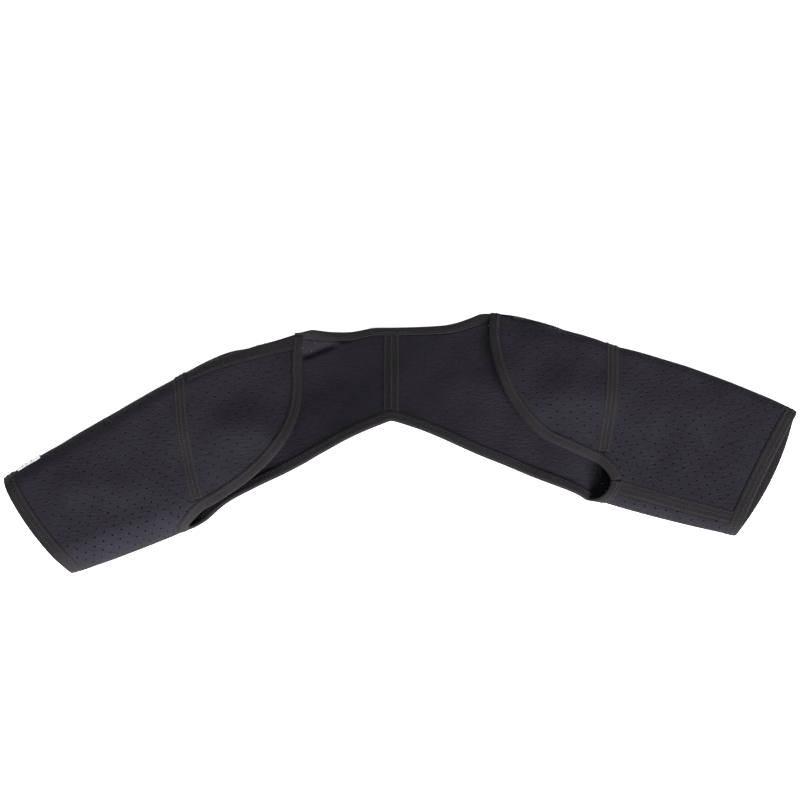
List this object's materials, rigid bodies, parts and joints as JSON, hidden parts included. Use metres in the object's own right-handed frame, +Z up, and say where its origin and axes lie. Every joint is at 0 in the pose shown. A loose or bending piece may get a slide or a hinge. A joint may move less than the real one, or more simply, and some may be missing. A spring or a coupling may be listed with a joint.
{
  "type": "double shoulder brace",
  "caption": "Perforated neoprene double shoulder brace with open upper-arm sleeves, a joined back panel and curved front panels, lying on its back.",
  "frame": {"origin": "middle of the bounding box, on the surface it lies on", "axes": "+Z up, out of the surface; X from sleeve to sleeve, -X the viewer's left; +Y from the cuffs towards the neck edge"},
  "size_m": [0.8146, 0.282, 0.0558],
  "materials": {
    "neoprene": "matte perforated neoprene with a knitted face",
    "stretch_tape": "soft ribbed tape",
    "woven_label": "white woven"
  },
  "bodies": {
    "root": {"sleeve_left": "neoprene", "cuff_binding_left": "stretch_tape", "front_panel_left": "neoprene", "sleeve_right": "neoprene", "cuff_binding_right": "stretch_tape", "front_panel_right": "neoprene", "back_panel_left": "neoprene", "armhole_seam_tape_left": "stretch_tape", "shoulder_seam_tape_left": "stretch_tape", "underarm_seam_tape_left": "stretch_tape", "back_panel_right": "neoprene", "armhole_seam_tape_right": "stretch_tape", "shoulder_seam_tape_right": "stretch_tape", "underarm_seam_tape_right": "stretch_tape", "front_edge_binding_left": "stretch_tape", "front_edge_binding_right": "stretch_tape", "hem_binding": "stretch_tape", "neck_binding": "stretch_tape", "centre_back_seam_tape": "stretch_tape", "label_tag": "woven_label"}
  },
  "joints": []
}
